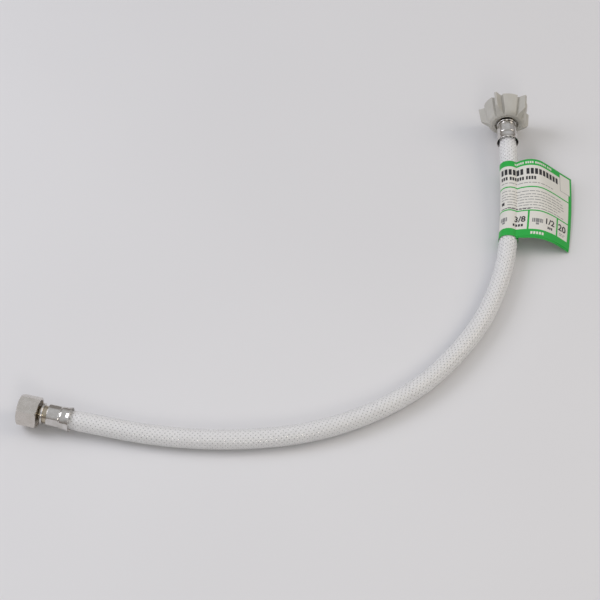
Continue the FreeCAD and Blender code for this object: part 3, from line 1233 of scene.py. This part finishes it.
@dataclass
class LabelPrint:
    """What is printed on one leaf: bands, rules, cells and rows of stand-in letters."""

    width: float = 58.4
    height: float = 63.5
    band: float = 4.9
    foot: float = 5.9
    strip: float = 2.9              # along the free edge
    rule: float = 1.0
    rule_shares: tuple[float, float] = (0.36, 0.667)    # of the height, from the top
    cell_bars: tuple[float, float] = (22.8, 44.6)
    patches: list[Patch] = field(default_factory=list)

    def add(self, left: float, right: float, low: float, high: float, ink: Ink) -> None:
        """Prints one rectangle over what is there."""
        self.patches.append(Patch(left, right, low, high, ink))

    def letters(self, left: float, right: float, low: float, high: float, words: Sequence[int],
                ink: Ink) -> None:
        """A row of plain blocks, one for each letter that a line of type would have.

        Args:
            left: start of the row.
            right: end of the row.
            low: foot of the blocks.
            high: top of the blocks.
            words: blocks in each word.
            ink: their tone.
        """
        gap, fill = 0.5, 0.72           # between words and of each block, in block pitches
        pitch = (right - left) / (sum(words) + gap * (len(words) - 1))
        x = left
        for count in words:
            for _ in range(count):
                self.add(x, x + fill * pitch, low, high, ink)
                x += pitch
            x += gap * pitch

    def small_row(self, left: float, right: float, low: float, draw: random.Random,
                  ink: Ink = Ink.GREY, tall: float = 0.55) -> None:
        """A row of small type: a bar broken into words."""
        shortest, longest, space, least = 1.4, 5.0, 0.6, 0.8
        x = left
        while x < right - least:
            word = min(draw.uniform(shortest, longest), right - x)
            self.add(x, x + word, low, low + tall, ink)
            x += word + space

    def border(self) -> None:
        """The green bands, free-edge strip and the two rules across."""
        self.add(0, self.width, 0, self.height, Ink.PAPER)
        self.add(0, self.width, 0, self.foot, Ink.GREEN)
        self.add(0, self.width, self.height - self.band, self.height, Ink.GREEN)
        self.add(self.width - self.strip, self.width, 0, self.height, Ink.GREEN)
        for share in self.rule_shares:
            low = self.height * (1 - share)
            self.add(0, self.width, low - self.rule / 2, low + self.rule / 2, Ink.GREEN)

    def nut_picture(self, left: float, widths: Sequence[float], tall: float) -> None:
        """A plain picture of a nut seen from the side: its facets over a short neck."""
        base, gap, neck = 11.6, 0.3, 1.1
        x = left
        for width in widths:
            self.add(x, x + width, base, base + tall, Ink.GREY)
            x += width + gap
        middle = (left + x - gap) / 2
        self.add(middle - neck, middle + neck, base - 1.9, base - 0.35, Ink.GREY)

    def front(self) -> list[Patch]:
        """The outer leaf's print."""
        draw = random.Random(7)
        top, inner = self.height, self.width - self.strip
        self.border()
        self.letters(13.0, 40.5, top - 3.4, top - 1.7, (5, 4, 6, 3), Ink.PAPER)
        self.letters(3.2, 46.4, top - 12.2, top - 7.4, (6, 9), Ink.BLACK)
        self.letters(3.2, 28.0, top - 16.8, top - 14.0, (3, 6, 4), Ink.BLACK)
        self.small_row(3.2, 41.0, top - 19.6, draw)
        for down, end in ((25.6, 48.0), (28.2, 50.0), (30.4, 50.5), (32.6, 51.0), (35.0, 48.0),
                          (37.2, 45.0), (39.6, 51.0)):
            self.small_row(3.5 if down < 33 else 8.0, end, top - down - 1.0, draw)
        self.small_row(3.5, 25.0, top - 41.2, draw, Ink.BLACK)
        self.add(3.6, 6.0, top - 37.8, top - 35.4, Ink.BLACK)
        box_left, box_low = 48.0, top - 16.2
        self.add(box_left - 0.35, inner + 1.3, box_low - 0.35, top - 1.6, Ink.GREY)
        self.add(box_left, inner + 1.3, box_low, top - 1.6, Ink.PAPER)
        for x in self.cell_bars:
            self.add(x, x + 1.3, self.foot, top - self.rule_shares[1] * top, Ink.GREEN)
        self.nut_picture(3.6, (1.1, 2.1, 1.1), 3.4)
        self.nut_picture(26.0, (0.7, 1.2, 2.6, 1.2, 0.7), 3.2)
        self.letters(12.6, 20.6, 8.2, 10.2, (4,), Ink.BLACK)
        self.letters(37.4, 41.6, 8.2, 10.2, (3,), Ink.BLACK)
        self.small_row(47.4, 52.8, 9.2, draw)
        self.small_row(47.4, 52.8, 7.9, draw)
        self.letters(25.6, 35.4, 1.9, 4.0, (5,), Ink.PAPER)
        return self.patches

    def back(self) -> list[Patch]:
        """The under leaf's print: the border, plain rows and a block of upright bars."""
        draw = random.Random(11)
        self.border()
        for n in range(12):
            low = self.height - 9.0 - 1.15 * n if n < 9 else self.height - 27.0 - 3.0 * (n - 9)
            self.small_row(30.0, self.width - 6.0, low, draw)
        for n in range(22):
            self.add(34.0 + 0.9 * n, 34.35 + 0.9 * n + 0.25 * (n % 3), 9.0, 18.0, Ink.BLACK)
        return self.patches


@dataclass
class FlagLabel:
    """Printed film wrapped once round the hose, its two leaves stuck together as a flag.

    Places are in millimetres: u to the right of the hose's line and w up from it.
    """

    line: Centreline
    start: float = 372.3            # along the hose
    length: float = 63.5
    film: float = 0.12
    wrap_r: float = 6.55
    pinch_deg: float = 48.0         # where the leaves leave the hose, up from its right side
    leaf_gap: float = 0.15          # from the leaves' shared line to each film's face
    back_shift: float = 1.3         # how far the under leaf slips down the hose
    slip_from: float = 14.0         # from the fold, where that slip begins
    slip_over: float = 20.0         # and the width that it grows over
    near: tuple[tuple[float, float], ...] = (
        (8.0, 5.8), (14.0, 6.7), (19.0, 6.5), (23.5, 5.2), (30.0, 1.8), (36.0, -3.0), (40.3, -6.9))
    far: tuple[tuple[float, float], ...] = (
        (7.4, 7.2), (11.5, 9.0), (16.0, 9.4), (20.5, 8.0), (27.0, 3.2), (35.0, -3.4), (42.9, -9.6))
    grid: float = 1.1               # coarsest cell of the film's mesh
    stations: int = 40              # sections kept along the hose
    ink_lift: float = 0.09          # of the numerals over the film
    sizes: tuple[tuple[str, float, float, float], ...] = (      # text, place and height
        ("3/8", 17.5, 12.0, 6.4), ("1/2", 38.8, 12.0, 6.4), ("20", 49.9, 12.0, 7.4))
    turn: Matrix = field(init=False)
    sections: list[tuple[list[Vector], list[float]]] = field(init=False)
    under: float = field(init=False)        # widths of the two leaves, from the fold
    outer: float = field(init=False)

    def __post_init__(self) -> None:
        """Works out the film's path at every kept section, and its mean widths."""
        self.turn = self.line.matrix((self.start + self.length / 2) * MM).to_3x3()
        self.sections = [self.section(n / self.stations) for n in range(self.stations + 1)]
        self.under = sum(-places[0] for _, places in self.sections) / len(self.sections)
        self.outer = sum(places[-1] for _, places in self.sections) / len(self.sections)

    def leaf(self, share: float) -> list[Vector]:
        """The leaves' shared line at a section.

        Args:
            share: 0 at the label's near end and 1 at its far end.

        Returns:
            Points from the hose to the free edge.
        """
        pinch = math.radians(self.pinch_deg)
        start = Vector((math.cos(pinch), math.sin(pinch))) * (self.wrap_r + self.leaf_gap)
        knots = [start] + [Vector(a).lerp(Vector(b), share) for a, b in zip(self.near, self.far)]
        ends = [2 * knots[0] - knots[1], *knots, 2 * knots[-1] - knots[-2]]
        points, steps = [], 10
        for p0, p1, p2, p3 in zip(ends, ends[1:], ends[2:], ends[3:]):
            for n in range(steps):
                t = n / steps
                points.append(0.5 * (
                    2 * p1 + (p2 - p0) * t + (2 * p0 - 5 * p1 + 4 * p2 - p3) * t ** 2
                    + (3 * p1 - p0 - 3 * p2 + p3) * t ** 3))
        return points + [knots[-1]]

    def offset(self, points: Sequence[Vector], side: float) -> list[Vector]:
        """The line moved aside by a distance, upwards when positive."""
        moved = []
        for k, p in enumerate(points):
            way = (points[min(k + 1, len(points) - 1)] - points[max(k - 1, 0)]).normalized()
            moved.append(p + Vector((-way.y, way.x)) * side)
        return moved

    def section(self, share: float) -> tuple[list[Vector], list[float]]:
        """The film's whole path at a section.

        Args:
            share: 0 at the label's near end and 1 at its far end.

        Returns:
            Points from the under leaf's edge round the hose to the outer leaf's edge, and
            their distances from the fold at the hose's left side.
        """
        leaf = self.leaf(share)
        nip, steps = math.radians(2.5), 60
        first = math.radians(self.pinch_deg) - nip
        turn = FULL_TURN - 2 * nip
        wrap = [
            Vector((math.cos(a), math.sin(a))) * self.wrap_r
            for a in (first - turn * n / steps for n in range(steps + 1))]
        path = [
            *self.offset(leaf, -self.leaf_gap)[::-1], *wrap, *self.offset(leaf, self.leaf_gap)]
        places = [0.0]
        for a, b in zip(path, path[1:]):
            places.append(places[-1] + (b - a).length)
        left = Vector((-self.wrap_r, 0))
        fold = min(range(len(path)), key=lambda n: (path[n] - left).length)
        return path, [place - places[fold] for place in places]

    def flat_spot(self, x: float, number: int, lift: float) -> Vector:
        """A point of one kept section, with x stretched to end at the leaf's own edge."""
        path, places = self.sections[number]
        x *= places[-1] / self.outer if x > 0 else -places[0] / self.under
        n = min(max(bisect.bisect_left(places, x), 1), len(places) - 1)
        span = places[n] - places[n - 1]
        way = (path[n] - path[n - 1]).normalized()
        spot = path[n - 1].lerp(path[n], (x - places[n - 1]) / span if span > 1e-9 else 0.0)
        return spot + Vector((-way.y, way.x)) * lift

    def spot(self, x: float, y: float, lift: float = 0.0) -> Vector:
        """The place of a point of the label.

        Args:
            x: distance from the fold, in millimetres, negative on the under leaf.
            y: height from the lower edge.
            lift: height over the printed face.

        Returns:
            The point in the frame, in metres.
        """
        at = min(max(y / self.length, 0.0), 1.0) * self.stations
        number = min(int(at), self.stations - 1)
        flat = self.flat_spot(x, number, lift).lerp(
            self.flat_spot(x, number + 1, lift), at - number)
        slip = self.back_shift * min(1.0, max(0.0, (-x - self.slip_from) / self.slip_over))
        centre = self.line.point((self.start + y - slip) * MM)
        return centre + self.turn @ Vector((flat.x * MM, flat.y * MM, 0))

    def lines(self, borders: Iterable[float], low: float, high: float) -> list[float]:
        """Grid lines through every border, with none further apart than the coarsest cell."""
        found = [low]
        for border in sorted({round(b, 2) for b in borders if low < b < high} | {high}):
            gap = border - found[-1]
            if gap > 0.03:
                cells = math.ceil(gap / self.grid)
                found += [found[-1] + gap * (n + 1) / cells for n in range(cells)]
        found[-1] = high
        return found

    def film_piece(self) -> bpy.types.Object:
        """The film, with each of its cells in the tone that is printed there."""
        outer = LabelPrint(self.outer, self.length).front()
        under = [
            Patch(-p.right, -p.left, p.low, p.high, p.ink)
            for p in LabelPrint(self.under, self.length).back()]
        patches = outer + under
        xs = self.lines([x for p in patches for x in (p.left, p.right)], -self.under, self.outer)
        ys = self.lines([y for p in patches for y in (p.low, p.high)], 0.0, self.length)
        tones: dict[tuple[int, int], Ink] = {}
        for p in patches:
            columns = [i for i in range(len(xs) - 1) if p.left < (xs[i] + xs[i + 1]) / 2 < p.right]
            rows = [j for j in range(len(ys) - 1) if p.low < (ys[j] + ys[j + 1]) / 2 < p.high]
            tones.update({(i, j): p.ink for i in columns for j in rows})
        bm = bmesh.new()
        mapped_grid(bm, len(xs) - 1, len(ys) - 1, lambda i, j: self.spot(xs[i], ys[j]))
        uv = bm.loops.layers.uv.active
        for face in bm.faces:
            cell = tuple(int(min(loop[uv].uv[axis] for loop in face.loops)) for axis in (0, 1))
            face.material_index = tones[cell].value
        piece = finished("flag_label_film", bm, [INKS[ink].material() for ink in Ink], 80.0)
        thick = piece.modifiers.new("film", "SOLIDIFY")
        thick.thickness, thick.offset = self.film * MM, -1
        return stands_for(piece, "flag_label", Slot.FILM)

    def stamp(self, bm: BMesh, mark: bpy.types.Mesh, x: float, y: float, size: float) -> None:
        """Prints a flat outline on the outer leaf and frees it.

        Args:
            bm: the mesh of all marks.
            mark: the outline in its own plane.
            x: where its origin goes.
            y: the same, up the label.
            size: its scale, in millimetres.
        """
        known = set(bm.verts)
        bm.from_mesh(mark)
        bpy.data.meshes.remove(mark)
        for v in set(bm.verts) - known:
            v.co = self.spot(x + v.co.x * size, y + v.co.y * size, self.ink_lift)

    def numeral(self, body: str) -> bpy.types.Mesh:
        """A size's numerals as a flat outline, one unit high and centred."""
        text = bpy.data.curves.new("numeral", "FONT")
        text.body, text.align_x, text.resolution_u = body, "CENTER", 3
        text.offset = 0.02          # thickens the strokes
        holder = bpy.data.objects.new("numeral", text)
        mesh = bpy.data.meshes.new_from_object(holder)
        bpy.data.objects.remove(holder)
        bpy.data.curves.remove(text)
        return mesh

    def marks_piece(self) -> bpy.types.Object:
        """The numerals of the line's three sizes."""
        bm = bmesh.new()
        for body, x, y, size in self.sizes:
            self.stamp(bm, self.numeral(body), x, y, size)
        bmesh.ops.triangulate(bm, faces=bm.faces)
        piece = finished("flag_label_marks", bm, [INKS[Ink.BLACK].material()], 80.0)
        thick = piece.modifiers.new("ink", "SOLIDIFY")
        thick.thickness, thick.offset = self.ink_lift * MM / 2, -1
        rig.ride(piece, frame["nodes"]["flag_label"]["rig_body"])
        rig.slot(piece, Slot.FILM.value)
        return piece

    def build(self) -> list[bpy.types.Object]:
        """Makes the film and what is stamped on it.

        Returns:
            Both pieces.
        """
        log.info("label %.1f mm wide flat, %.1f mm high", self.under + self.outer, self.length)
        return [self.film_piece(), self.marks_piece()]


# -------------------------------------------------------------------- studio

@dataclass(frozen=True)
class Lamp:
    """A square soft light aimed at a point. Places in metres."""

    name: str
    place: tuple[float, float, float]
    side: float
    watts: float
    colour: Colour
    target: tuple[float, float, float] = (0.0, 0.0, 0.0)

    def build(self) -> None:
        """Adds the light."""
        data = bpy.data.lights.new(self.name, "AREA")
        data.shape, data.size, data.energy, data.color = "SQUARE", self.side, self.watts, self.colour
        lamp = bpy.data.objects.new(self.name, data)
        lamp.location = self.place
        aim = Vector(self.target) - Vector(self.place)
        lamp.rotation_euler = aim.to_track_quat("-Z", "Y").to_euler()
        bpy.context.scene.collection.objects.link(lamp)


@dataclass
class Studio:
    """Pale floor, soft light and the camera. Places in metres."""

    camera_place: tuple[float, float, float] = (0.0055, -0.7197, 0.8276)
    tilt_deg: float = 40.0          # from straight down
    lens_mm: float = 100.68
    floor_side: float = 8.0
    lamps: tuple[Lamp, ...] = (
        Lamp("cool_window", (-1.25, 0.20, 1.15), 1.0, 12.5, (0.92, 0.92, 1.0)),
        Lamp("warm_room", (1.2, 0.05, 0.95), 0.8, 4.5, (1.0, 0.88, 0.74)),
        Lamp("front_window", (0.15, -1.45, 0.95), 0.4, 3.6, (1.0, 0.95, 0.88)),
    )
    zenith: Colour = (0.92, 0.93, 0.95)
    horizon: Colour = (0.34, 0.30, 0.27)
    sky_strength: float = 0.61

    def camera(self) -> None:
        """Adds the camera and makes it the scene's own."""
        data = bpy.data.cameras.new("camera")
        data.lens, data.sensor_width = self.lens_mm, 36.0
        data.clip_start, data.clip_end = 0.05, 50.0
        holder = bpy.data.objects.new("camera", data)
        holder.location = self.camera_place
        holder.rotation_euler = (math.radians(self.tilt_deg), 0, 0)
        bpy.context.scene.collection.objects.link(holder)
        bpy.context.scene.camera = holder

    def floor(self) -> None:
        """Adds the floor, a board whose top is at Z = 0."""
        bm = bmesh.new()
        bmesh.ops.create_grid(bm, x_segments=8, y_segments=8, size=self.floor_side / 2)
        finish = PaleFloor("pale_board", (0.72, 0.72, 0.73), (0.70, 0.70, 0.71))
        board = finished("floor", bm, [finish.material()])
        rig.stage(board)

    def sky(self) -> None:
        """Fills the room: bright overhead, dimmer and warmer towards the horizon."""
        world = bpy.data.worlds.new("room")
        world.use_nodes = True
        tree = world.node_tree
        ground = tree.nodes["Background"]
        coords, split, ramp = (tree.nodes.new(kind) for kind in (
            "ShaderNodeTexCoord", "ShaderNodeSeparateXYZ", "ShaderNodeValToRGB"))
        for element, place, tone in zip(
                ramp.color_ramp.elements, (0.05, 0.75), (self.horizon, self.zenith)):
            element.position, element.color = place, (*tone, 1)
        tree.links.new(coords.outputs["Generated"], split.inputs[0])
        tree.links.new(split.outputs["Z"], ramp.inputs["Fac"])
        tree.links.new(ramp.outputs["Color"], ground.inputs["Color"])
        ground.inputs["Strength"].default_value = self.sky_strength
        bpy.context.scene.world = world

    def light(self) -> None:
        """Adds the floor, the sky and the lamps."""
        bpy.context.scene.view_settings.view_transform = "Standard"
        self.floor()
        self.sky()
        for lamp in self.lamps:
            lamp.build()


# --------------------------------------------------------------------- build

def main() -> None:
    """Builds the line from its camera and hose outwards."""
    logging.basicConfig(level=logging.INFO, format="%(name)s: %(message)s")
    studio = Studio()
    studio.camera()
    line = Centreline(ROUTE)
    hose = Hose(line)
    jacket, layers = hose.build()
    tag = FlagLabel(line).build()
    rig.cord(
        jacket, exit=line.point(hose.lip_from_start * MM), length=line.length,
        diameter=2 * hose.jacket_r * MM, far_end="object", stiffness="medium", lay="loose",
        path=hose.path, with_pieces=[*layers, *tag])
    CompressionEnd().build()
    PipeEnd().build()
    studio.light()
    log.info("hose %.4f m long", line.length)
    with open("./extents.json", "w", encoding="utf-8") as file:
        boxes = {"cad": CAD_BOX, "visual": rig.bounds()}
        json.dump({name: [list(c) for c in box] for name, box in boxes.items()}, file)


if __name__ == "__main__":
    main()
